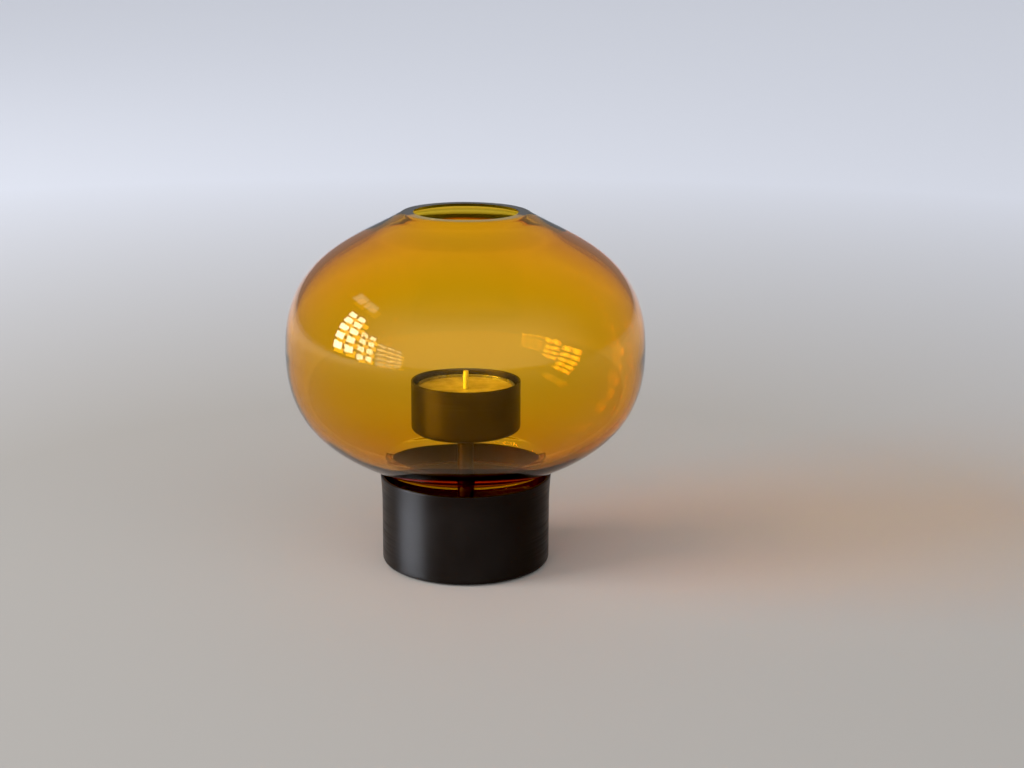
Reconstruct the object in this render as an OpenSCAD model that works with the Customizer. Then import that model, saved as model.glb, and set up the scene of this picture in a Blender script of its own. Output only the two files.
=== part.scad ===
// Tealight holder: a flattened blown-glass globe standing in a turned black metal base, with a
// turned cup for one standard tealight carried on a stem up the middle of the globe.
//
// Millimetres, +Z up. The origin is the middle of the foot pad's underside, on the table.
// Everything is turned or blown round the Z axis, so most pieces are one revolved outline.

/* [Base] */
// Outer diameter of the base's straight wall
base_d = 66.4; // [60:0.1:90]
// Height of the base, from its bottom edge to its rim
base_h = 36; // [32:0.5:50]
// Wall thickness of the base
base_wall = 1.2; // [0.8:0.1:2.5]
// Thickness of the base's floor, above the recess for the foot pad
base_floor = 3; // [2.6:0.1:5]
// Radius of the rounded edge round the bottom of the base
base_edge_r = 2; // [1:0.1:3]
// How far the rim of the base flares outwards
rim_flare = 0.65; // [0:0.05:1.5]
// Height of the flared band below the rim
flare_h = 12; // [6:0.5:14]

/* [Foot pad] */
// Thickness of the foot pad
pad_t = 1.5; // [1.2:0.1:3]
// How far the foot pad stands out below the base's bottom edge
pad_proud = 0.5; // [0.3:0.1:1]
// Width of the metal ring left round the foot pad's recess
pad_border = 3.5; // [3.5:0.1:8]

/* [Seat for the glass] */
// Depth of the seat plate's top below the base's rim
seat_depth = 11; // [8:0.5:13]
// Thickness of the seat plate
plate_t = 1.6; // [1:0.1:3]
// Outer diameter of the spacer tube that holds the seat plate up
spacer_d = 12; // [9:0.5:20]
// Thickness of the gasket ring under the glass
gasket_t = 1; // [0.5:0.1:2]
// Width of the gasket ring
gasket_w = 4.2; // [3:0.1:6]

/* [Glass shade] */
// Widest outer diameter of the globe
globe_d = 140; // [115:1:180]
// Height of the cut top above the base's rim
globe_h = 104.05; // [95:0.05:130]
// Height of the widest ring above the base's rim
equator_h = 51.05; // [44:0.05:64]
// Wall thickness from the cut top down to the widest ring
glass_t = 2.3; // [1.6:0.1:3]
// Wall thickness where the globe meets the collar
glass_foot_t = 3.3; // [2.4:0.1:4]
// Wall thickness of the collar
collar_t = 2.8; // [2:0.1:3.4]
// Height of the straight collar that shows above the base's rim
collar_show = 0.65; // [0:0.05:3]
// Radius of the hollow fillet between the collar and the globe
collar_fillet_r = 3; // [1.5:0.1:5]
// Slope of the shoulder where it meets the cut top, in degrees from level
shoulder_slope = 31; // [20:0.5:40]
// Slope of the globe's underside where it meets the fillet, in degrees from level
underside_slope = 21; // [12:0.5:32]
// Curve handle along the shoulder, from the cut top outwards
shoulder_pull = 21.8; // [10:0.1:30]
// Curve handle up from the widest ring
belly_pull_up = 36.3; // [20:0.1:42]
// Curve handle down from the widest ring
belly_pull_down = 18.9; // [12:0.1:30]
// Curve handle along the underside, from the fillet outwards
underside_pull = 33.3; // [18:0.1:38]

/* [Stem] */
// Diameter of the stem
stem_d = 6.5; // [5.8:0.1:10]
// Length of the stem, from the seat plate to the cup
stem_l = 27.1; // [22:0.1:40]

/* [Tealight cup] */
// Height of the tealight cup
cup_h = 20.7; // [17:0.1:28]
// Wall thickness of the tealight cup
cup_wall = 1; // [0.6:0.1:1.5]
// Thickness of the cup's floor
cup_floor = 2.6; // [2.4:0.1:4]
// Radius of the rounded edge round the bottom of the cup
cup_edge_r = 2; // [1:0.1:3]

/* [Screws] */
// Thread diameter of both countersunk screws
screw_d = 4; // [3:0.5:4]
// Diameter of a screw's countersunk head
screw_head_d = 7.6; // [6:0.1:8]
// Across-flats size of the screws' hexagon socket
socket_af = 2.5; // [2:0.5:2.5]
// How far each screw reaches into the stem
screw_grip = 8; // [5:0.5:10]
// Thickness of the lock washer between the seat plate and the stem
washer_t = 0.8; // [0.4:0.1:1.2]

/* [Tealight] */
// Outer diameter of the tealight's shell
tealight_d = 38; // [36:0.1:39]
// Height of the tealight's shell
tealight_h = 16; // [12:0.5:20]
// Thickness of the shell's foil
shell_t = 0.35; // [0.2:0.05:0.6]
// Radius of the rolled bead round the shell's rim
bead_r = 0.35; // [0.25:0.05:0.5]
// Radius of the rounded edge round the bottom of the shell
shell_edge_r = 1; // [0.7:0.1:2]
// Depth of the wax below the shell's rim
wax_drop = 1.3; // [0.8:0.1:5]
// Diameter of the wick
wick_d = 2.4; // [1.2:0.1:3]
// Length of wick standing out of the wax
wick_out = 7.4; // [3:0.1:12]
// Diameter of the wick sustainer's disc
sustainer_d = 15; // [10:0.5:20]
// Thickness of the wick sustainer's sheet
sustainer_t = 0.4; // [0.2:0.05:0.6]
// Height of the sustainer's crimped collar
sustainer_h = 4; // [2:0.5:6]

/* [Fits] */
// Gap all round the tealight in its cup
cup_gap = 1.55; // [0.3:0.05:6]
// Gap all round the tealight as it is lifted out through the cut top of the glass
mouth_gap = 0.76; // [0.3:0.02:10]
// Gap all round between the glass collar and the base's wall
collar_gap = 0.6; // [0.3:0.1:1]
// Gap all round between the seat plate and the base's wall
plate_gap = 0.15; // [0.05:0.05:0.3]
// Gap all round between the foot pad and its recess
pad_gap = 0.3; // [0.1:0.1:0.6]
// Radial gap between a screw and a plain hole
screw_gap = 0.2; // [0.1:0.05:0.4]
// Radial gap left for the threads between a screw and its tapped hole
thread_gap = 0.05; // [0.02:0.01:0.1]
// Gap between a countersunk head and its seat
head_gap = 0.05; // [0.02:0.01:0.1]
// Gap under a piece that only rests on another and lifts off
rest_gap = 0.05; // [0.02:0.01:0.1]
// Gap round the wick and the sustainer inside the wax
wax_gap = 0.05; // [0.02:0.01:0.1]

/* [Hidden] */
$fn = 128;

// Steps in one curve of the glass, in one rounded edge, and in the rounding of a thin rim
curve_steps = 26;
arc_steps = 8;
rim_steps = 4;
// Small rounding on thin rims, and the small bevel on turned and cut edges
rim_r = 0.35;
bevel = 0.3;
// Depth of a hexagon socket, of the bevel at a screw's tip, and of a tapped hole past that tip
socket_depth = 1.6;
tip_bevel = 0.5;
drill_room = 1;
// Slit of the split lock washer
washer_slit = 0.8;
// Dish of the wax: how far the middle lies below its edge
wax_dish = 0.35;
// Soft bend inside the neck of the glass: how many collar walls it runs down the collar, and how
// far its curve handles reach towards the corner that it rounds
neck_bend = 1.6;
neck_pull = 0.6;
// Overrun of a cut past the face that it opens
cut = 1;

// Levels, from the table up
base_z = pad_proud;
recess_z = pad_t;
floor_z = recess_z + base_floor;
rim_z = base_z + base_h;
seat_z = rim_z - seat_depth;
plate_z = seat_z - plate_t;
gasket_z = seat_z + gasket_t;
glass_z = gasket_z + rest_gap;
collar_depth = rim_z - glass_z;
collar_h = collar_depth + collar_show;
glass_h = collar_depth + globe_h;
stem_z = seat_z + washer_t;
cup_z = stem_z + stem_l;
cup_floor_z = cup_z + cup_floor;
cup_rim_z = cup_z + cup_h;
tealight_z = cup_floor_z + rest_gap;
tealight_rim_z = tealight_z + tealight_h;
wax_z = tealight_rim_z - wax_drop;
wax_foot_z = tealight_z + shell_t + wax_gap;

// Radii
base_r = base_d / 2;
base_bore_r = base_r - base_wall;
recess_r = base_r - pad_border;
plate_r = base_bore_r - plate_gap;
collar_r = base_bore_r - collar_gap;
collar_bore_r = collar_r - collar_t;
gasket_r = collar_r;
globe_r = globe_d / 2;
stem_r = stem_d / 2;
screw_r = screw_d / 2;
head_r = screw_head_d / 2;
plain_hole_r = screw_r + screw_gap;
tapped_hole_r = screw_r + thread_gap;
tapped_depth = screw_grip + drill_room;
tealight_r = tealight_d / 2;
shell_bore_r = tealight_r - shell_t;
bead_centre_r = tealight_r - shell_t / 2;
cup_r = tealight_r + cup_gap + cup_wall;
// Hole in the cut top of the glass. The wall there is cut across at the shoulder's slope.
cut_r = bead_centre_r + bead_r + mouth_gap;
mouth_r = cut_r + glass_t / sin(shoulder_slope);
wick_r = wick_d / 2;
sustainer_bore_r = wick_r + wax_gap;
sustainer_r = sustainer_bore_r + sustainer_t;
// A 90-degree countersunk head is as deep as it is wider than its shank
head_h = head_r - screw_r;

// Where the globe's underside leaves the collar's fillet, seen from the foot of the glass
fillet_turn = 90 - underside_slope;
fillet_end = [collar_r + collar_fillet_r * (1 - cos(fillet_turn)),
              collar_h + collar_fillet_r * sin(fillet_turn)];
equator = [globe_r, collar_depth + equator_h];
mouth = [mouth_r, glass_h];

// Point on a cubic curve through p[0] and p[3], at t from 0 to 1
function curve_at(p, t) =
    pow(1 - t, 3) * p[0] + 3 * pow(1 - t, 2) * t * p[1] + 3 * (1 - t) * t * t * p[2] + pow(t, 3) * p[3];

// Direction of that curve at t, as a unit vector
function curve_dir(p, t) =
    let (d = pow(1 - t, 2) * (p[1] - p[0]) + 2 * (1 - t) * t * (p[2] - p[1]) + t * t * (p[3] - p[2]))
    d / norm(d);

// The same point moved to the left of the direction of travel, by a distance that goes from d0 to d1
function inset_at(p, t, d0, d1) =
    let (dir = curve_dir(p, t))
    curve_at(p, t) + (d0 + (d1 - d0) * t) * [-dir[1], dir[0]];

// Points of an arc round a centre, from angle a0 to angle a1
function arc(centre, r, a0, a1, steps = arc_steps) =
    [for (i = [0:steps]) let (a = a0 + (a1 - a0) * i / steps) centre + r * [cos(a), sin(a)]];

// The two curves of the globe's outside, from the collar up and on to the cut top
underside = [fillet_end,
             fillet_end + underside_pull * [cos(underside_slope), sin(underside_slope)],
             equator - [0, belly_pull_down],
             equator];
shoulder = [equator,
            equator + [0, belly_pull_up],
            mouth + shoulder_pull * [cos(shoulder_slope), -sin(shoulder_slope)],
            mouth];

// Radius of the flared outside of the base at a height above the table
function flare_r(z) = base_r + rim_flare * pow(max(0, (z - (rim_z - flare_h)) / flare_h), 2);

// Closed outline of a straight-sided cup: rounded lower edge, round rim, square inside corner
module cup_outline(r, wall, z0, floor_top, z1, edge_r) {
    polygon(concat([[0, z0]],
                   arc([r - edge_r, z0 + edge_r], edge_r, -90, 0),
                   arc([r - rim_r, z1 - rim_r], rim_r, 0, 90, rim_steps),
                   arc([r - wall + rim_r, z1 - rim_r], rim_r, 90, 180, rim_steps),
                   [[r - wall, floor_top], [0, floor_top]]));
}

// Countersunk screw that points up, with the face of its head at z = 0
module countersunk_screw(length) {
    difference() {
        union() {
            cylinder(r1 = head_r, r2 = screw_r, h = head_h);
            cylinder(r = screw_r, h = length - tip_bevel);
            translate([0, 0, length - tip_bevel])
                cylinder(r1 = screw_r, r2 = screw_r - tip_bevel, h = tip_bevel);
        }
        translate([0, 0, -cut])
            cylinder(d = socket_af / cos(30), h = cut + socket_depth, $fn = 6);
    }
}

// Hole for that screw: a plain hole through a floor and its countersink, from z = 0 upwards
module screw_hole(floor_t) {
    translate([0, 0, -cut])
        cylinder(r = plain_hole_r, h = floor_t + 2 * cut);
    cylinder(r1 = head_r + head_gap + screw_gap, r2 = plain_hole_r, h = head_h + head_gap);
    translate([0, 0, -cut])
        cylinder(r = head_r + head_gap + screw_gap, h = cut);
}

// Turned base: rounded lower edge, recess for the pad, and a thin wall that flares at the rim
module base_shell() {
    flare_z = rim_z - flare_h;
    flare_top = rim_z - rim_r;
    flare_zs = [for (i = [0:arc_steps - 1]) flare_z + (flare_top - flare_z) * i / arc_steps];
    top_r = flare_r(flare_top);
    color([0.09, 0.09, 0.1])
    difference() {
        rotate_extrude()
            polygon(concat(
                [[0, recess_z], [recess_r, recess_z], [recess_r, base_z]],
                arc([base_r - base_edge_r, base_z + base_edge_r], base_edge_r, -90, 0),
                [for (z = flare_zs) [flare_r(z), z]],
                arc([top_r - rim_r, flare_top], rim_r, 0, 90, rim_steps),
                arc([top_r - base_wall + rim_r, flare_top], rim_r, 90, 180, rim_steps),
                [for (i = [1:arc_steps]) let (z = flare_zs[arc_steps - i]) [flare_r(z) - base_wall, z]],
                arc([base_bore_r - rim_r, floor_z + rim_r], rim_r, 0, -90, rim_steps),
                [[0, floor_z]]));
        translate([0, 0, recess_z])
            screw_hole(base_floor);
    }
}

// Soft disc stuck in the recess, which the holder stands on and which hides the screw
module foot_pad() {
    color([0.16, 0.15, 0.15])
    cylinder(r = recess_r - pad_gap, h = pad_t);
}

// Long screw from under the floor, through spacer, plate and washer, into the stem
module base_screw() {
    color([0.6, 0.6, 0.62])
    translate([0, 0, recess_z])
        countersunk_screw(stem_z + screw_grip - recess_z);
}

// Tube that stands on the floor and holds the seat plate up
module spacer_tube() {
    color([0.62, 0.62, 0.64])
    translate([0, 0, floor_z])
    difference() {
        cylinder(d = spacer_d, h = plate_z - floor_z);
        translate([0, 0, -cut])
            cylinder(r = plain_hole_r, h = plate_z - floor_z + 2 * cut);
    }
}

// Disc inside the base that the glass and the stem stand on
module seat_plate() {
    color([0.1, 0.1, 0.11])
    difference() {
        rotate_extrude()
            polygon([[0, plate_z], [plate_r - bevel, plate_z], [plate_r, plate_z + bevel],
                     [plate_r, seat_z - bevel], [plate_r - bevel, seat_z], [0, seat_z]]);
        translate([0, 0, plate_z - cut])
            cylinder(r = plain_hole_r, h = plate_t + 2 * cut);
    }
}

// Soft ring on the seat plate, under the foot of the glass
module seat_gasket() {
    color([0.13, 0.13, 0.13])
    translate([0, 0, seat_z])
    difference() {
        cylinder(r = gasket_r, h = gasket_t);
        translate([0, 0, -cut])
            cylinder(r = gasket_r - gasket_w, h = gasket_t + 2 * cut);
    }
}

// Blown glass: round foot, straight collar, hollow fillet, flattened globe and a cut open top.
// The outline runs up the outside, across the cut, and back down the inside.
module glass_shade() {
    foot_r = collar_t / 2;
    outer_fillet = arc([collar_r + collar_fillet_r, collar_h], collar_fillet_r, 180, 180 - fillet_turn);
    steps = [for (i = [1:curve_steps]) i / curve_steps];
    down = [for (i = [1:curve_steps]) 1 - i / curve_steps];
    // Where the globe's inside would meet the collar's, and the bend that rounds that corner
    inner_end = inset_at(underside, 0, glass_foot_t, glass_t);
    corner = [collar_bore_r, inner_end[1] - (inner_end[0] - collar_bore_r) * tan(underside_slope)];
    bend_end = corner - [0, neck_bend * collar_t];
    bend = [inner_end, inner_end + neck_pull * (corner - inner_end),
            bend_end + neck_pull * (corner - bend_end), bend_end];
    color([0.85, 0.55, 0.08, 0.45])
    translate([0, 0, glass_z])
    rotate_extrude()
        polygon(concat(
            arc([collar_r - foot_r, foot_r], foot_r, -90, 0),
            outer_fillet,
            [for (t = steps) curve_at(underside, t)],
            [for (t = steps) if (t < 1) curve_at(shoulder, t)],
            [mouth - bevel * [-cos(shoulder_slope), sin(shoulder_slope)], mouth - [bevel, 0]],
            [[cut_r + bevel, glass_h]],
            [for (t = down) let (p = inset_at(shoulder, t, glass_t, glass_t)) if (p[1] < glass_h - bevel) p],
            [for (t = down) inset_at(underside, t, glass_foot_t, glass_t)],
            [for (t = steps) if (t < 1) curve_at(bend, t)],
            arc([collar_bore_r + foot_r, foot_r], foot_r, 180, 270)));
}

// Split ring that keeps the stem from working loose
module lock_washer() {
    color([0.5, 0.5, 0.52])
    translate([0, 0, seat_z])
    difference() {
        cylinder(r = stem_r, h = washer_t);
        translate([0, 0, -cut])
            cylinder(r = plain_hole_r, h = washer_t + 2 * cut);
        translate([0, -washer_slit / 2, -cut])
            cube([stem_r + cut, washer_slit, washer_t + 2 * cut]);
    }
}

// Round rod with bevelled ends, tapped at both ends for the two screws
module stem() {
    color([0.2, 0.19, 0.18])
    translate([0, 0, stem_z])
    difference() {
        rotate_extrude()
            polygon([[0, 0], [stem_r - bevel, 0], [stem_r, bevel],
                     [stem_r, stem_l - bevel], [stem_r - bevel, stem_l], [0, stem_l]]);
        translate([0, 0, -cut])
            cylinder(r = tapped_hole_r, h = cut + tapped_depth);
        translate([0, 0, stem_l - tapped_depth])
            cylinder(r = tapped_hole_r, h = tapped_depth + cut);
    }
}

// Turned cup that holds the tealight, with a countersunk hole in its floor
module tealight_cup() {
    color([0.24, 0.22, 0.2])
    difference() {
        rotate_extrude()
            cup_outline(cup_r, cup_wall, cup_z, cup_floor_z, cup_rim_z, cup_edge_r);
        translate([0, 0, cup_floor_z])
            mirror([0, 0, 1])
                screw_hole(cup_floor);
    }
}

// Short screw down through the cup's floor into the stem
module cup_screw() {
    color([0.6, 0.6, 0.62])
    translate([0, 0, cup_floor_z])
        mirror([0, 0, 1])
            countersunk_screw(cup_floor + screw_grip);
}

// Pressed foil shell of the tealight, with a rolled bead round its rim
module tealight_shell() {
    edge_centre = [tealight_r - shell_edge_r, tealight_z + shell_edge_r];
    color([0.8, 0.8, 0.82])
    union() {
        rotate_extrude()
            polygon(concat([[0, tealight_z]],
                           arc(edge_centre, shell_edge_r, -90, 0),
                           [[tealight_r, tealight_rim_z - bead_r],
                            [shell_bore_r, tealight_rim_z - bead_r]],
                           arc(edge_centre, shell_edge_r - shell_t, 0, -90),
                           [[0, tealight_z + shell_t]]));
        translate([0, 0, tealight_rim_z - bead_r])
            rotate_extrude()
                translate([bead_centre_r, 0])
                    circle(r = bead_r, $fn = 24);
    }
}

// Wax that fills the shell, a little dished on top, cast round the wick and its sustainer
module wax() {
    wax_r = shell_bore_r - wax_gap;
    edge_centre = [tealight_r - shell_edge_r, tealight_z + shell_edge_r];
    dish_rs = [for (i = [0:arc_steps]) wax_r * (1 - i / arc_steps)];
    color([0.95, 0.93, 0.86])
    difference() {
        rotate_extrude()
            polygon(concat([[0, wax_foot_z]],
                           arc(edge_centre, shell_edge_r - shell_t - wax_gap, -90, 0),
                           [for (r = dish_rs) [r, wax_z - wax_dish * (1 - pow(r / wax_r, 2))]]));
        translate([0, 0, wax_foot_z - cut])
            cylinder(r = wick_r + wax_gap, h = wax_z - wax_foot_z + 2 * cut);
        translate([0, 0, wax_foot_z - cut])
            cylinder(r = sustainer_r + wax_gap, h = cut + sustainer_h + wax_gap);
        translate([0, 0, wax_foot_z - cut])
            cylinder(r = sustainer_d / 2 + wax_gap, h = cut + sustainer_t + wax_gap);
    }
}

// Sheet-metal disc with a crimped collar, which holds the wick up from the bottom of the shell
module wick_sustainer() {
    color([0.7, 0.7, 0.72])
    translate([0, 0, wax_foot_z])
    difference() {
        union() {
            cylinder(d = sustainer_d, h = sustainer_t);
            cylinder(r = sustainer_r, h = sustainer_h);
        }
        translate([0, 0, -cut])
            cylinder(r = sustainer_bore_r, h = sustainer_h + 2 * cut);
    }
}

// Round cotton wick, with a bevelled tip
module wick() {
    wick_l = wax_z + wick_out - wax_foot_z;
    color([0.93, 0.9, 0.8])
    translate([0, 0, wax_foot_z])
    rotate_extrude()
        polygon([[0, 0], [wick_r, 0], [wick_r, wick_l - bevel], [wick_r - bevel, wick_l], [0, wick_l]]);
}

base_shell();
foot_pad();
base_screw();
spacer_tube();
seat_plate();
seat_gasket();
glass_shade();
lock_washer();
stem();
tealight_cup();
cup_screw();
tealight_shell();
wax();
wick_sustainer();
wick();
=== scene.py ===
"""Looks for the tealight holder: finished meshes, materials, studio, and the camera.

Metres, +Z up. Most pieces are built round the Z axis from the outline of their CAD nodes.
"""
import math

import bpy
from mathutils import Matrix, Vector, noise


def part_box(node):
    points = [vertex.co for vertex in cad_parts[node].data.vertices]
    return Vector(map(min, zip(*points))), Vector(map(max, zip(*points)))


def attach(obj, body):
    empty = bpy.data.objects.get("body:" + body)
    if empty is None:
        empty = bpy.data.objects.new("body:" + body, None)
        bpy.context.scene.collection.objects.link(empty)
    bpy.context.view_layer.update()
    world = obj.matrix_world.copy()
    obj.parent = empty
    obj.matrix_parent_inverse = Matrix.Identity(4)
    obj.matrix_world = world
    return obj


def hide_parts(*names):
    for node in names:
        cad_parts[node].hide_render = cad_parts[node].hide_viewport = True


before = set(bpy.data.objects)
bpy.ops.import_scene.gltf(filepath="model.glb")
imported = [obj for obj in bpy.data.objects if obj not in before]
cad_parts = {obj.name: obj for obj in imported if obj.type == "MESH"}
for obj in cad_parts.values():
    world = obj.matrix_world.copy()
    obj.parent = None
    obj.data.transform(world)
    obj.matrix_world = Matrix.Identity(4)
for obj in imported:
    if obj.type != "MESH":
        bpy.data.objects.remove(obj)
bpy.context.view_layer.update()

MM = 0.001
MICRONS = 1e6            # in a metre
TAU = 2 * math.pi


# ---------------------------------------------------------------- camera

CAMERA_AT = (0.0, -0.68527, 0.24946)
CAMERA_LENS = 63.38                      # in mm, on a sensor 36 mm wide
CAMERA_PITCH = math.radians(14.49)       # down
CAMERA_YAW = math.radians(1.514)         # to the right
CAMERA_ROLL = math.radians(0.37)


def add_camera():
    """A camera at the holder's front, a little above it, looking down at it."""
    data = bpy.data.cameras.new("camera")
    data.sensor_width = 36.0
    data.lens = CAMERA_LENS
    data.clip_start = 0.01
    data.clip_end = 100.0
    camera = bpy.data.objects.new("camera", data)
    bpy.context.scene.collection.objects.link(camera)
    turn = Matrix.Rotation(-CAMERA_YAW, 4, "Z") @ Matrix.Rotation(math.pi / 2 - CAMERA_PITCH, 4, "X")
    turn = turn @ Matrix.Rotation(CAMERA_ROLL, 4, "Z")
    camera.matrix_world = Matrix.Translation(CAMERA_AT) @ turn
    bpy.context.scene.camera = camera


# ---------------------------------------------------------------- outlines and revolved meshes

ON_SEAM = 2 / MICRONS                    # a point this near the seam's plane is on it
ON_AXIS = 1e-7                           # and a point this near the axis is on that
CORNER = math.radians(24)                # a sharper turn of an outline stays a corner
STRAIGHT = 2.5                           # a stretch so many times its neighbour's length is straight
BEND = math.radians(0.4)                 # a stretch that turns by less needs no points in between
EDGE_LOOP = 0.25 * MM                    # distance of a straight wall's extra rings from its ends


def seam_points(node):
    """The points of a turned CAD node that lie on its seam, the XZ plane with X above zero,
    as {key: (radius, height)}, and the seam edges between them."""
    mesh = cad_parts[node].data
    points = {}
    key_of = {}
    for v in mesh.vertices:
        if abs(v.co.y) < ON_SEAM and v.co.x > -ON_SEAM:
            key = (round(v.co.x * MICRONS), round(v.co.z * MICRONS))
            points[key] = (v.co.x, v.co.z)
            key_of[v.index] = key
    edges = set()
    for e in mesh.edges:
        a, b = (key_of.get(i) for i in e.vertices)
        if a is not None and b is not None and a != b:
            edges.add((min(a, b), max(a, b)))
    return points, edges


def outline(node):
    """The outline of a turned CAD node as a list of (radius, height), and whether it is closed.
    An open outline is closed by running level from both its ends to the axis."""
    points, edges = seam_points(node)
    links = {}
    for a, b in edges:
        links.setdefault(a, []).append(b)
        links.setdefault(b, []).append(a)
    ends = sorted(k for k, near in links.items() if len(near) == 1)
    start = ends[0] if ends else min(links)
    path = []
    seen = set()
    at = start
    while at is not None:
        path.append(points[at])
        seen.add(at)
        at = next((k for k in sorted(links[at]) if k not in seen), None)
    if ends:
        path = [(0.0, path[0][1])] + path + [(0.0, path[-1][1])]
    return path, not ends


def refine(path, closed, corner=CORNER, longest=0.6 * MM):
    """Adds points along an outline's curved stretches, on smooth curves through its points.
    A turn sharper than corner stays a corner, and longest is the largest step along a curve."""
    n = len(path)
    pts = [Vector(p) for p in path]

    def turn_at(i):
        if not closed and i in (0, n - 1):
            return math.pi
        a, b, c = pts[i - 1], pts[i], pts[(i + 1) % n]
        return (b - a).angle(c - b, math.pi)

    sharp = [turn_at(i) > corner for i in range(n)]

    def tangent(i, side):
        """Unit tangent at point i, for the stretch that leaves it (side 1) or reaches it (-1)."""
        a, b, c = pts[i - 1], pts[i], pts[(i + 1) % n]
        if sharp[i]:
            return ((c - b) if side > 0 else (b - a)).normalized()
        before = (b - a).length
        after = (c - b).length
        if max(before, after) > STRAIGHT * min(before, after):
            # A long straight stretch runs on without a kink into a rounded edge
            return ((b - a) if before > after else (c - b)).normalized()
        return ((b - a) / before * after + (c - b) / after * before).normalized()

    out = []
    for i in range(n if closed else n - 1):
        j = (i + 1) % n
        span = (pts[j] - pts[i]).length
        t0 = tangent(i, 1) * span
        t1 = tangent(j, -1) * span
        if t0.angle(t1, 0.0) > BEND:
            steps = max(1, math.ceil(span / longest))
            shares = [k / steps for k in range(steps)]
        elif span > 4 * EDGE_LOOP:
            # Extra rings near both ends keep the shading of a straight wall even
            shares = [0.0, EDGE_LOOP / span, 1 - EDGE_LOOP / span]
        else:
            shares = [0.0]
        for t in shares:
            # A cubic curve with those tangents at its ends
            h1 = 2 * t ** 3 - 3 * t ** 2 + 1
            h2 = t ** 3 - 2 * t ** 2 + t
            h3 = -2 * t ** 3 + 3 * t ** 2
            h4 = t ** 3 - t ** 2
            out.append(h1 * pts[i] + h2 * t0 + h3 * pts[j] + h4 * t1)
    if not closed:
        out.append(pts[-1])
    return out


def link_mesh(name, verts, faces, sharp=None):
    """A smooth mesh object in the scene. Edges that turn by more than sharp stay sharp."""
    mesh = bpy.data.meshes.new(name)
    mesh.from_pydata(verts, [], faces)
    mesh.validate()
    for p in mesh.polygons:
        p.use_smooth = True
    obj = bpy.data.objects.new(name, mesh)
    bpy.context.scene.collection.objects.link(obj)
    if sharp is not None:
        mesh.set_sharp_from_angle(angle=sharp)
    return obj


def revolve(name, path, closed, segments=192, shift=None, sharp=math.radians(35)):
    """A solid of revolution. shift(angle, index, point) gives a small move along radius and
    height for each point, for relief and irregularity."""
    verts = []
    rings = []
    for i, p in enumerate(path):
        if p[0] < ON_AXIS:
            rings.append([len(verts)])
            verts.append((0.0, 0.0, p[1]))
            continue
        ring = []
        for s in range(segments):
            a = TAU * s / segments
            dr, dz = shift(a, i, p) if shift else (0.0, 0.0)
            ring.append(len(verts))
            verts.append(((p[0] + dr) * math.cos(a), (p[0] + dr) * math.sin(a), p[1] + dz))
        rings.append(ring)
    faces = []
    for i in range(len(rings) if closed else len(rings) - 1):
        a, b = rings[i], rings[(i + 1) % len(rings)]
        for s in range(segments):
            t = (s + 1) % segments
            if len(a) == 1:
                faces.append((a[0], b[t], b[s]))
            elif len(b) == 1:
                faces.append((a[s], a[t], b[0]))
            else:
                faces.append((a[s], a[t], b[t], b[s]))
    if signed_area(path) < 0:
        faces = [tuple(reversed(f)) for f in faces]
    return link_mesh(name, verts, faces, sharp)


def signed_area(path):
    """Area inside an outline: above zero when it runs anticlockwise in the radius-height plane."""
    n = len(path)
    return 0.5 * sum(path[i][0] * path[(i + 1) % n][1] - path[(i + 1) % n][0] * path[i][1]
                     for i in range(n))


def turned(name, node, body, material, segments=192):
    """A finished piece that stands for a turned CAD node."""
    path, closed = outline(node)
    obj = revolve(name, refine(path, closed), closed, segments)
    finish_piece(obj, body, material, node)


def finish_piece(obj, body, material, node):
    """Gives a piece its material, in a new material slot, and its body, and hides the CAD node that it
    replaces.
    """
    obj.data.materials.append(material)
    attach(obj, body)
    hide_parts(node)


# ---------------------------------------------------------------- materials

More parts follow.
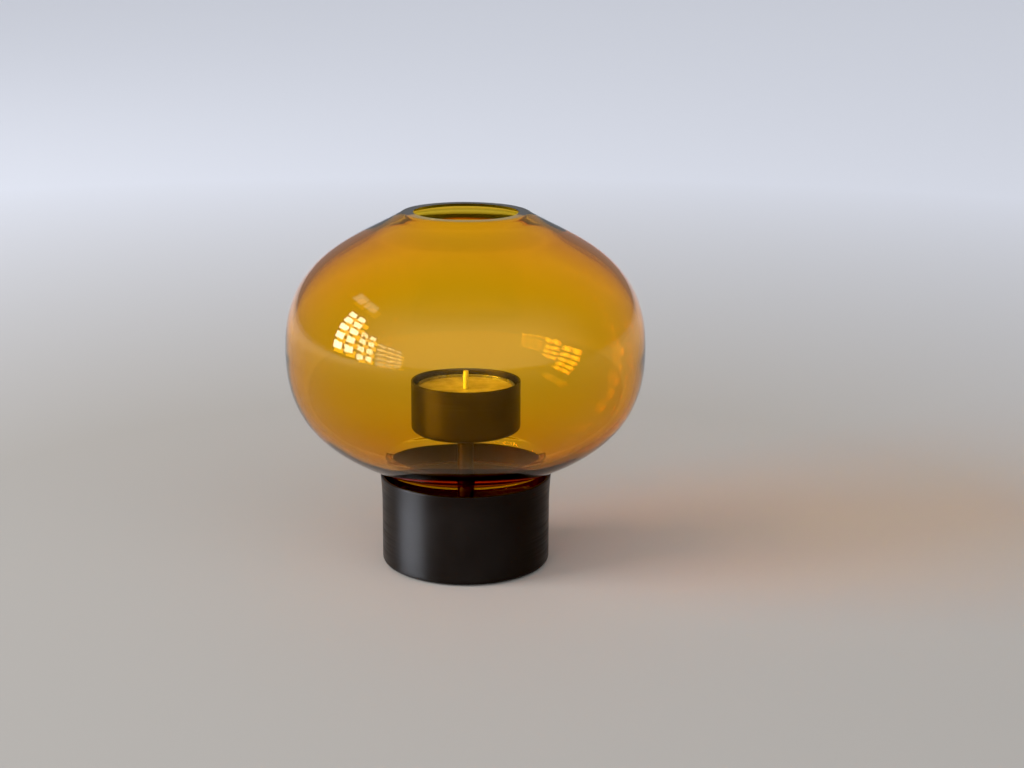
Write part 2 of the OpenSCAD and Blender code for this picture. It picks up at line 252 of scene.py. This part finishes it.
class Nodes:
    """Short calls for building a material's nodes."""

    def __init__(self, name):
        self.mat = bpy.data.materials.new(name)
        self.mat.use_nodes = True
        self.tree = self.mat.node_tree
        self.tree.nodes.clear()
        self.out = self.tree.nodes.new("ShaderNodeOutputMaterial")

    def add(self, kind, **values):
        node = self.tree.nodes.new("ShaderNode" + kind)
        for key, value in values.items():
            setattr(node, key, value)
        return node

    def link(self, source, target):
        self.tree.links.new(source, target)

    def shader(self, **values):
        node = self.add("BsdfPrincipled")
        for key, value in values.items():
            node.inputs[key.replace("_", " ")].default_value = value
        self.link(node.outputs[0], self.out.inputs["Surface"])
        return node

    def place(self):
        """The point on the object, in metres."""
        if not hasattr(self, "coords"):
            self.coords = self.add("TexCoord")
        return self.coords.outputs["Object"]

    def scaled(self, scale):
        node = self.add("Mapping")
        node.inputs["Scale"].default_value = scale
        self.link(self.place(), node.inputs["Vector"])
        return node.outputs[0]

    def noise(self, scale, detail=3.0, rough=0.5, stretch=None, distort=0.0):
        node = self.add("TexNoise")
        node.inputs["Scale"].default_value = scale
        node.inputs["Detail"].default_value = detail
        node.inputs["Roughness"].default_value = rough
        node.inputs["Distortion"].default_value = distort
        self.link(self.scaled(stretch) if stretch else self.place(), node.inputs["Vector"])
        return node.outputs["Fac"]

    def spread(self, source, low, high, to_low=0.0, to_high=1.0):
        node = self.add("MapRange")
        for key, value in zip(("From Min", "From Max", "To Min", "To Max"), (low, high, to_low, to_high)):
            node.inputs[key].default_value = value
        self.link(source, node.inputs["Value"])
        return node.outputs[0]

    def math(self, kind, a, b):
        node = self.add("Math", operation=kind)
        for socket, value in zip(node.inputs, (a, b)):
            if isinstance(value, (int, float)):
                socket.default_value = value
            else:
                self.link(value, socket)
        return node.outputs[0]

    def blend(self, factor, a, b):
        """A colour between a and b."""
        node = self.add("Mix", data_type="RGBA")
        self.link(factor, node.inputs[0])
        for socket, value in ((node.inputs[6], a), (node.inputs[7], b)):
            if isinstance(value, tuple):
                socket.default_value = (*value, 1.0)
            else:
                self.link(value, socket)
        return node.outputs[2]

    def bump(self, height, distance, strength=1.0, under=None):
        node = self.add("Bump")
        node.inputs["Distance"].default_value = distance
        node.inputs["Strength"].default_value = strength
        self.link(height, node.inputs["Height"])
        if under is not None:
            self.link(under, node.inputs["Normal"])
        return node.outputs[0]

    def cylinder_point(self):
        """The point as (angle, radius, height), for marks that run round the axis."""
        xyz = self.add("SeparateXYZ")
        self.link(self.place(), xyz.inputs[0])
        angle = self.math("ARCTAN2", xyz.outputs[1], xyz.outputs[0])
        square = self.math("ADD", self.math("POWER", xyz.outputs[0], 2.0),
                           self.math("POWER", xyz.outputs[1], 2.0))
        radius = self.math("SQRT", square, 0.0)
        return angle, radius, xyz.outputs[2]

    def turning_lines(self, pitch):
        """Fine streaks left by the lathe, which run round the axis and fade in and out."""
        angle, radius, height = self.cylinder_point()
        both = self.add("CombineXYZ")
        self.link(radius, both.inputs[0])
        self.link(self.math("MULTIPLY", self.math("SINE", angle, 0.0), 1.5 * pitch), both.inputs[1])
        self.link(height, both.inputs[2])
        node = self.add("TexNoise")
        node.inputs["Scale"].default_value = 1.0 / pitch
        node.inputs["Detail"].default_value = 2.0
        self.link(both.outputs[0], node.inputs["Vector"])
        return node.outputs["Fac"]


def turned_gloss(m, shader, amount):
    """Stretches a shader's highlights across the lathe's rings, which run round the axis."""
    shader.inputs["Anisotropic"].default_value = amount
    shader.inputs["Anisotropic Rotation"].default_value = 0.25
    tangent = m.add("Tangent", direction_type="RADIAL", axis="Z")
    m.link(tangent.outputs[0], shader.inputs["Tangent"])


def black_metal():
    """Satin black coating over turned metal."""
    m = Nodes("black_metal")
    p = m.shader(Metallic=0.0, IOR=1.45)
    p.inputs["Specular IOR Level"].default_value = 0.14
    turned_gloss(m, p, 0.85)
    cloud = m.noise(60.0, 4.0)
    grit = m.noise(2600.0, 2.0)
    lines = m.turning_lines(0.7 * MM)
    m.link(m.blend(m.spread(cloud, 0.35, 0.7), (0.0022, 0.0015, 0.0011), (0.0042, 0.0032, 0.0026)),
           p.inputs["Base Color"])
    m.link(m.spread(m.math("ADD", m.math("MULTIPLY", lines, 0.7), m.math("MULTIPLY", cloud, 0.3)),
                    0.35, 0.65, 0.32, 0.48), p.inputs["Roughness"])
    fine = m.bump(grit, 0.02 * MM, 0.5)
    m.link(m.bump(lines, 0.04 * MM, 0.6, fine), p.inputs["Normal"])
    return m.mat


def dark_steel():
    """Turned steel, blackened."""
    m = Nodes("dark_steel")
    p = m.shader(Metallic=1.0)
    turned_gloss(m, p, 0.7)
    cloud = m.noise(90.0, 5.0, 0.6)
    lines = m.turning_lines(0.45 * MM)
    tone = m.math("ADD", m.math("MULTIPLY", cloud, 0.6), m.math("MULTIPLY", lines, 0.4))
    m.link(m.blend(m.spread(tone, 0.35, 0.65), (0.024, 0.0165, 0.0115), (0.052, 0.039, 0.03)),
           p.inputs["Base Color"])
    m.link(m.spread(tone, 0.3, 0.7, 0.36, 0.48), p.inputs["Roughness"])
    m.link(m.bump(lines, 0.03 * MM, 0.45), p.inputs["Normal"])
    return m.mat


def amber_glass():
    """Clear amber glass: the colour is absorption inside it, and lamps shine through it."""
    m = Nodes("amber_glass")
    # The index is below real glass's 1.5, and the reflections are tinted, to match the photo
    p = m.shader(Base_Color=(1.0, 1.0, 1.0, 1.0), IOR=1.38, Transmission_Weight=1.0)
    p.inputs["Specular Tint"].default_value = (1.0, 0.85, 0.55, 1.0)
    # A faint film here and there, and the swirls of blown glass
    film = m.noise(22.0, 4.0, 0.55, stretch=(1.0, 1.0, 2.5))
    m.link(m.spread(film, 0.55, 0.8, 0.0, 0.02), p.inputs["Roughness"])
    swirl = m.noise(26.0, 1.0, 0.4, stretch=(1.0, 1.0, 2.2), distort=0.3)
    m.link(m.bump(swirl, 0.05 * MM, 0.25), p.inputs["Normal"])
    clear = m.add("BsdfTransparent")
    path = m.add("LightPath")
    either = m.add("MixShader")
    m.link(path.outputs["Is Shadow Ray"], either.inputs[0])
    m.link(p.outputs[0], either.inputs[1])
    m.link(clear.outputs[0], either.inputs[2])
    m.link(either.outputs[0], m.out.inputs["Surface"])
    tint = m.add("VolumeAbsorption")
    tint.inputs["Color"].default_value = (0.996, 0.876, 0.06, 1.0)
    tint.inputs["Density"].default_value = 1000.0
    m.link(tint.outputs[0], m.out.inputs["Volume"])
    return m.mat


def soft_foam():
    """Closed-cell foam: matt, with fine cells."""
    m = Nodes("foot_foam")
    p = m.shader(Roughness=0.9)
    cells = m.add("TexVoronoi")
    cells.inputs["Scale"].default_value = 1800.0
    m.link(m.place(), cells.inputs["Vector"])
    shade = m.noise(120.0, 3.0)
    m.link(m.blend(shade, (0.018, 0.017, 0.017), (0.04, 0.038, 0.037)), p.inputs["Base Color"])
    m.link(m.bump(cells.outputs["Distance"], 0.15 * MM, 0.7), p.inputs["Normal"])
    return m.mat


def gasket_rubber():
    """Soft black rubber with a dusty bloom."""
    m = Nodes("gasket_rubber")
    p = m.shader()
    bloom = m.noise(300.0, 4.0)
    m.link(m.blend(bloom, (0.012, 0.012, 0.012), (0.03, 0.03, 0.031)), p.inputs["Base Color"])
    m.link(m.spread(bloom, 0.3, 0.7, 0.6, 0.85), p.inputs["Roughness"])
    m.link(m.bump(m.noise(2200.0, 2.0), 0.03 * MM, 0.5), p.inputs["Normal"])
    return m.mat


def plated_steel(name, light, dark, rough):
    """Zinc plate or tinplate: bright metal with a cloudy bloom and fine tool marks."""
    m = Nodes(name)
    p = m.shader(Metallic=1.0)
    bloom = m.noise(240.0, 5.0, 0.6)
    m.link(m.blend(m.spread(bloom, 0.35, 0.65), dark, light), p.inputs["Base Color"])
    m.link(m.spread(bloom, 0.3, 0.7, rough, rough + 0.14), p.inputs["Roughness"])
    m.link(m.bump(m.turning_lines(0.12 * MM), 0.02 * MM, 0.4), p.inputs["Normal"])
    return m.mat


def foil():
    """Drawn aluminium foil: a little rough, with faint upright draw marks. Its grey is darker than real
    foil: painted shade.
    """
    m = Nodes("foil")
    p = m.shader(Metallic=1.0)
    cloud = m.noise(160.0, 4.0)
    marks = m.noise(900.0, 2.0, stretch=(1.0, 1.0, 0.08))
    # A grey much darker than real foil is painted shade; the cloudy change within it is the foil's own
    m.link(m.blend(cloud, (0.3, 0.3, 0.31), (0.44, 0.44, 0.45)), p.inputs["Base Color"])
    m.link(m.spread(cloud, 0.3, 0.7, 0.22, 0.34), p.inputs["Roughness"])
    m.link(m.bump(marks, 0.05 * MM, 0.5), p.inputs["Normal"])
    return m.mat


def wax():
    """Paraffin wax: soft light from inside, with a mottled, slightly uneven top. It is darker than real
    wax,
    to match the photo: that darkness is painted shade."""
    m = Nodes("wax")
    p = m.shader(IOR=1.43)
    p.inputs["Subsurface Weight"].default_value = 0.4
    p.inputs["Subsurface Radius"].default_value = (4 * MM, 3 * MM, 2 * MM)
    p.inputs["Subsurface Scale"].default_value = 1.0
    mottle = m.noise(260.0, 5.0, 0.6)
    # Darker than real wax: painted shade; the mottle within it is the wax's own
    m.link(m.blend(m.spread(mottle, 0.3, 0.7), (0.27, 0.22, 0.2), (0.52, 0.45, 0.43)),
           p.inputs["Base Color"])
    m.link(m.spread(mottle, 0.3, 0.7, 0.38, 0.55), p.inputs["Roughness"])
    m.link(m.bump(m.noise(420.0, 4.0), 0.12 * MM, 0.5), p.inputs["Normal"])
    return m.mat


def wick_cotton():
    """Waxed cotton: pale fibres that run up the wick."""
    m = Nodes("wick_cotton")
    p = m.shader(Roughness=0.6)
    fibres = m.noise(1500.0, 3.0, stretch=(1.0, 1.0, 0.25))
    m.link(m.blend(fibres, (0.5, 0.45, 0.36), (0.74, 0.71, 0.62)), p.inputs["Base Color"])
    m.link(m.bump(fibres, 0.1 * MM, 0.7), p.inputs["Normal"])
    return m.mat


# ---------------------------------------------------------------- pieces

# How the glass's wall differs from its CAD node
SHOULDER_MORE = 0.75 * MM
SHOULDER_DEPTHS = (50 * MM, 20 * MM)     # starts so far below the cut, and is whole at the second
BELLY_LESS = 0.4 * MM
BELLY_HEIGHTS = (28 * MM, 60 * MM)       # whole up to so far above the foot, and gone at the second
COLLAR_HEIGHTS = (17 * MM, 27 * MM)      # nothing changes below the first of these heights
CUT_DEPTHS = (10 * MM, 4 * MM)           # or above the second of these depths
WAVES = ((0.12 * MM, 1.7), (0.05 * MM, 4.1))     # size, and how many to the globe's radius
WAVE_RISE = 60 * MM                      # the height that stands for one radius
# How its mesh is made
GLASS_CORNER = math.radians(28)
GLASS_STEP = 1.2 * MM
GLASS_SHARP = math.radians(38)
GLASS_SEGMENTS = 288


def smooth_step(x, x0, x1):
    """0 up to x0 and 1 from x1 on, with a smooth change in between."""
    t = min(1.0, max(0.0, (x - x0) / (x1 - x0)))
    return t * t * (3 - 2 * t)


def glass_shift(path, low, high):
    """The inside of blown glass is never quite even. The wall is thickest in the shoulder, thinnest
    in the belly, and wanders by a tenth or two of a millimetre. The outside stays as it is.
    path is the outline, and low and high are its lowest and highest points."""
    side = math.copysign(1.0, signed_area(path))
    centre = Vector((0.0, (low + high) / 2))
    normals = []
    for i, p in enumerate(path):
        along = (path[(i + 1) % len(path)] - path[i - 1]).normalized()
        normals.append(side * Vector((along.y, -along.x)))

    def shift(angle, i, p):
        z = p[1]
        # Points whose outward normal faces away from the globe's middle are on the outside
        if normals[i].dot(centre - p) <= 0:
            return 0.0, 0.0
        around = Vector((math.cos(angle), math.sin(angle), z / WAVE_RISE))
        thicker = sum(size * noise.noise(around * pitch) for size, pitch in WAVES)
        thicker += SHOULDER_MORE * smooth_step(z, *(high - depth for depth in SHOULDER_DEPTHS))
        thicker -= BELLY_LESS * (1 - smooth_step(z, *(low + height for height in BELLY_HEIGHTS)))
        # No change near the collar and the cut
        thicker *= smooth_step(z, *(low + height for height in COLLAR_HEIGHTS))
        thicker *= 1 - smooth_step(z, *(high - depth for depth in CUT_DEPTHS))
        return thicker * normals[i].x, thicker * normals[i].y
    return shift


def build_glass(material):
    """The blown globe with its collar and cut, whose inside is a little uneven."""
    path, closed = outline("glass_shade")
    path = refine(path, closed, corner=GLASS_CORNER, longest=GLASS_STEP)
    low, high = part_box("glass_shade")
    shift = glass_shift(path, low.z, high.z)
    obj = revolve("glass_globe", path, closed, GLASS_SEGMENTS, shift, GLASS_SHARP)
    finish_piece(obj, "shade", material, "glass_shade")


WICK_FLUTES = 11
WICK_SIDES = 12 * WICK_FLUTES
WICK_ROWS = 40
WICK_TWIST = 0.5                 # radians from bottom to top
WICK_LEAN = 0.12 * MM
WICK_GROOVE = 0.09 * MM          # depth of a flute
WICK_WEAR = 0.05 * MM
WICK_EDGE = 0.12 * MM            # height of the frayed edge round the cut
WICK_SHARP = math.radians(50)
# The cut top's rings of loose fibre ends: share of the radius, and how far they dip, in mm
WICK_CUT = ((0.7, 0.05), (0.4, 0.02), (0.15, 0.08))


def build_wick(material):
    """A round cotton wick, stiff with wax: upright flutes, a flat cut top and a slight lean."""
    low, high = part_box("wick")
    height = high.z - low.z
    radius = (high.x - low.x) / 2
    rise = [height * k / WICK_ROWS for k in range(WICK_ROWS)]
    rise += [height - WICK_EDGE, height - 0.4 * WICK_EDGE, height]
    verts = []
    for z in rise:
        t = z / height
        inset = 0.55 * WICK_EDGE if z > height - 0.2 * WICK_EDGE else 0.0
        for j in range(WICK_SIDES):
            b = TAU * j / WICK_SIDES
            flute = 0.5 - 0.5 * math.cos(WICK_FLUTES * (b + WICK_TWIST * t))
            worn = WICK_WEAR * noise.noise(Vector((2.2 * math.cos(b), 2.2 * math.sin(b), z / (2 * MM))))
            r = radius - WICK_LEAN - WICK_GROOVE * flute ** 2 - inset - WICK_WEAR + worn
            verts.append((r * math.cos(b) + WICK_LEAN * t, r * math.sin(b), low.z + z))
    last = (len(rise) - 1) * WICK_SIDES
    for share, dip in WICK_CUT:
        for j in range(WICK_SIDES):
            x, y = verts[last + j][:2]
            spot = Vector((3.0 * share * x / radius, 3.0 * share * y / radius, share))
            drop = dip + 0.05 * noise.noise(spot)
            verts.append((WICK_LEAN + (x - WICK_LEAN) * share, y * share, high.z - max(0.0, drop) * MM))
    faces = []
    rows = len(rise) + len(WICK_CUT)
    for k in range(rows - 1):
        a = k * WICK_SIDES
        for j in range(WICK_SIDES):
            t = (j + 1) % WICK_SIDES
            faces.append((a + j, a + t, a + WICK_SIDES + t, a + WICK_SIDES + j))
    faces.append(tuple(range((rows - 1) * WICK_SIDES, rows * WICK_SIDES)))
    faces.append(tuple(reversed(range(WICK_SIDES))))
    obj = link_mesh("wick_round", verts, faces, WICK_SHARP)
    finish_piece(obj, "tealight", material, "wick")


def build_all():
    """All the pieces. The screws and the washer keep their CAD shapes, with a new material."""
    black = black_metal()
    steel = dark_steel()
    zinc = plated_steel("zinc_steel", (0.62, 0.62, 0.64), (0.42, 0.43, 0.45), 0.26)
    turned("base_turned", "base_shell", "holder", black, 256)
    turned("plate_turned", "seat_plate", "holder", black)
    turned("cup_turned", "tealight_cup", "holder", steel, 224)
    turned("stem_turned", "stem", "holder", steel, 96)
    turned("spacer_turned", "spacer_tube", "holder", zinc, 96)
    turned("gasket_ring", "seat_gasket", "holder", gasket_rubber())
    turned("foot_disc", "foot_pad", "holder", soft_foam())
    for node in ("base_screw", "cup_screw", "lock_washer"):
        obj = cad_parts[node]
        obj.data.materials.clear()
        obj.data.materials.append(zinc)
    build_glass(amber_glass())
    turned("shell_pressed", "tealight_shell", "tealight", foil(), 224)
    turned("wax_cast", "wax", "tealight", wax(), 160)
    tin = plated_steel("tinplate", (0.75, 0.75, 0.76), (0.55, 0.55, 0.57), 0.22)
    turned("sustainer_stamped", "wick_sustainer", "tealight", tin, 96)
    build_wick(wick_cotton())


# ---------------------------------------------------------------- studio

# Brightness of the room
FRONT_LIGHT = 1.9
WALL_LIGHT = 0.3         # all round, low down
OVERHEAD_LIGHT = 0.26
# Brightness of the lamps
WINDOW_LIGHT = 30.0
SIDE_LIGHT = 13.0        # the softbox on the window's side
SILL_LIGHT = 70.0        # the low light that falls on the base
WASH_LIGHT = 0.12        # on the floor far behind

FLOOR_NEAR = (0.455, 0.43, 0.4)
FLOOR_FAR = (0.82, 0.84, 0.92)
FLOOR_FADE = (0.25, 1.1)         # from the one colour to the other, out from the axis
BLACK_POINT = (0.003, 0.004, 0.0045)

WINDOW_X = -1.3
WINDOW_BAR = 0.05
# Grids of panes: name, y from and to, z from and to, columns, rows, share of the window's light
WINDOW_GRIDS = (
    ("near_panes", -0.43, 0.0, 0.12, 0.9, 2, 5, 1.0),
    ("far_panes", -0.82, -0.46, 0.05, 0.62, 2, 4, 0.8),
    ("blind", -1.6, -0.85, 0.02, 0.5, 3, 5, 0.3),
    ("skylight", -0.42, 0.3, 1.1, 1.4, 2, 1, 0.12),
)


def add_floor():
    """A plain level floor, wide enough to reach the horizon, that gets paler far off."""
    size = 40.0
    obj = link_mesh("floor", [(-size, -size, 0), (size, -size, 0), (size, size, 0), (-size, size, 0)],
                    [(0, 1, 2, 3)])
    m = Nodes("floor")
    p = m.shader(Roughness=0.7)
    p.inputs["Specular IOR Level"].default_value = 0.25
    radius = m.cylinder_point()[1]
    m.link(m.blend(m.spread(radius, *FLOOR_FADE), FLOOR_NEAR, FLOOR_FAR), p.inputs["Base Color"])
    obj.data.materials.append(m.mat)


def add_light(name, centre, size, target, power, colour=(1.0, 1.0, 1.0)):
    """An area light at centre that faces target and isn't seen itself."""
    data = bpy.data.lights.new(name, "AREA")
    data.shape = "RECTANGLE"
    data.size, data.size_y = size
    data.energy = power
    data.color = colour
    obj = bpy.data.objects.new(name, data)
    bpy.context.scene.collection.objects.link(obj)
    obj.location = centre
    obj.rotation_euler = (Vector(target) - Vector(centre)).to_track_quat("-Z", "Y").to_euler()
    obj.visible_camera = False
    return obj


def radiance_power(radiance, size):
    """Watts that give a one-sided area light that radiance."""
    return radiance * math.pi * size[0] * size[1]


def add_world():
    """A room's soft light: bright in front, dim behind, and slightly dimmer overhead."""
    world = bpy.data.worlds.new("world")
    world.use_nodes = True
    tree = world.node_tree
    nodes, links = tree.nodes, tree.links
    nodes.clear()
    out = nodes.new("ShaderNodeOutputWorld")
    back = nodes.new("ShaderNodeBackground")
    links.new(back.outputs[0], out.inputs[0])
    where = nodes.new("ShaderNodeTexCoord")
    split = nodes.new("ShaderNodeSeparateXYZ")
    links.new(where.outputs["Generated"], split.inputs[0])

    def fade(source, low, high, to_low, to_high):
        node = nodes.new("ShaderNodeMapRange")
        node.interpolation_type = "SMOOTHSTEP"
        for key, value in zip(("From Min", "From Max", "To Min", "To Max"), (low, high, to_low, to_high)):
            node.inputs[key].default_value = value
        links.new(source, node.inputs["Value"])
        return node.outputs[0]

    def join(kind, a, b):
        node = nodes.new("ShaderNodeMath")
        node.operation = kind
        links.new(a, node.inputs[0])
        links.new(b, node.inputs[1])
        return node.outputs[0]

    front = join("MULTIPLY", fade(split.outputs[1], -0.85, 0.1, FRONT_LIGHT, 0.0),
                 fade(split.outputs[2], 0.5, 1.0, 1.0, 0.25))
    wall = fade(split.outputs[2], 0.3, 0.8, WALL_LIGHT, OVERHEAD_LIGHT)
    links.new(join("ADD", front, wall), back.inputs["Strength"])
    back.inputs["Color"].default_value = (0.95, 0.97, 1.0, 1.0)
    bpy.context.scene.world = world


def lights_only(name, objects):
    """A collection that a light is linked to, so that it lights these objects and no others."""
    group = bpy.data.collections.new(name)
    for obj in objects:
        group.objects.link(obj)
    return group


def add_window():
    """A window to the left, which shows as highlights on the pieces: two blocks of small panes, a
    blind and a skylight. It doesn't light the floor."""
    pieces = lights_only("window_lights_these",
                         [o for o in bpy.context.scene.objects if o.type == "MESH" and o.name != "floor"])

    def pane(name, y0, y1, z0, z1, radiance):
        size = (y1 - y0 - WINDOW_BAR, z1 - z0 - WINDOW_BAR)
        centre = (WINDOW_X, (y0 + y1) / 2, (z0 + z1) / 2)
        light = add_light(name, centre, size, (0.0, centre[1], centre[2]),
                          radiance_power(radiance, size), (0.93, 0.96, 1.0))
        light.light_linking.receiver_collection = pieces

    for name, y0, y1, z0, z1, columns, rows, share in WINDOW_GRIDS:
        for i in range(columns):
            for k in range(rows):
                pane(f"{name}_{i}_{k}", y0 + (y1 - y0) * i / columns, y0 + (y1 - y0) * (i + 1) / columns,
                     z0 + (z1 - z0) * k / rows, z0 + (z1 - z0) * (k + 1) / rows, share * WINDOW_LIGHT)


def add_sill_light():
    """Low light that comes in over the table's left end and only shows as sheen on the base."""
    size = (0.34, 0.1)
    centre = (-0.5, -0.12, 0.075)
    light = add_light("sill", centre, size, (0.0, 0.0, 0.03), radiance_power(SILL_LIGHT, size),
                      (0.8, 0.87, 1.0))
    base = bpy.data.objects["base_turned"]
    light.light_linking.receiver_collection = lights_only("sill_lights_these", [base])


def add_lights():
    """The room, the window, and the lights that fill in round it."""
    add_world()
    add_window()
    add_sill_light()
    # Soft light from the window's side, and on the floor far behind. Neither is seen in a
    # reflection or through the glass
    size = (1.4, 1.1)
    side = add_light("side_softbox", (-2.3, -0.6, 1.0), size, (0.0, 0.0, 0.05),
                     radiance_power(SIDE_LIGHT, size), (0.97, 0.98, 1.0))
    size = (8.0, 6.0)
    wash = add_light("wall_wash", (0.0, 4.4, 2.4), size, (0.0, 4.4, 0.0), radiance_power(WASH_LIGHT, size))
    for light in (side, wash):
        light.visible_glossy = False
        light.visible_transmission = False


def build():
    """The whole scene, and the way its picture is shown."""
    add_camera()
    build_all()
    add_floor()
    add_lights()
    scene = bpy.context.scene
    scene.view_settings.view_transform = "Standard"
    # A photograph's deep blacks
    scene.view_settings.use_curve_mapping = True
    curve = scene.view_settings.curve_mapping
    curve.black_level = BLACK_POINT
    curve.update()


build()
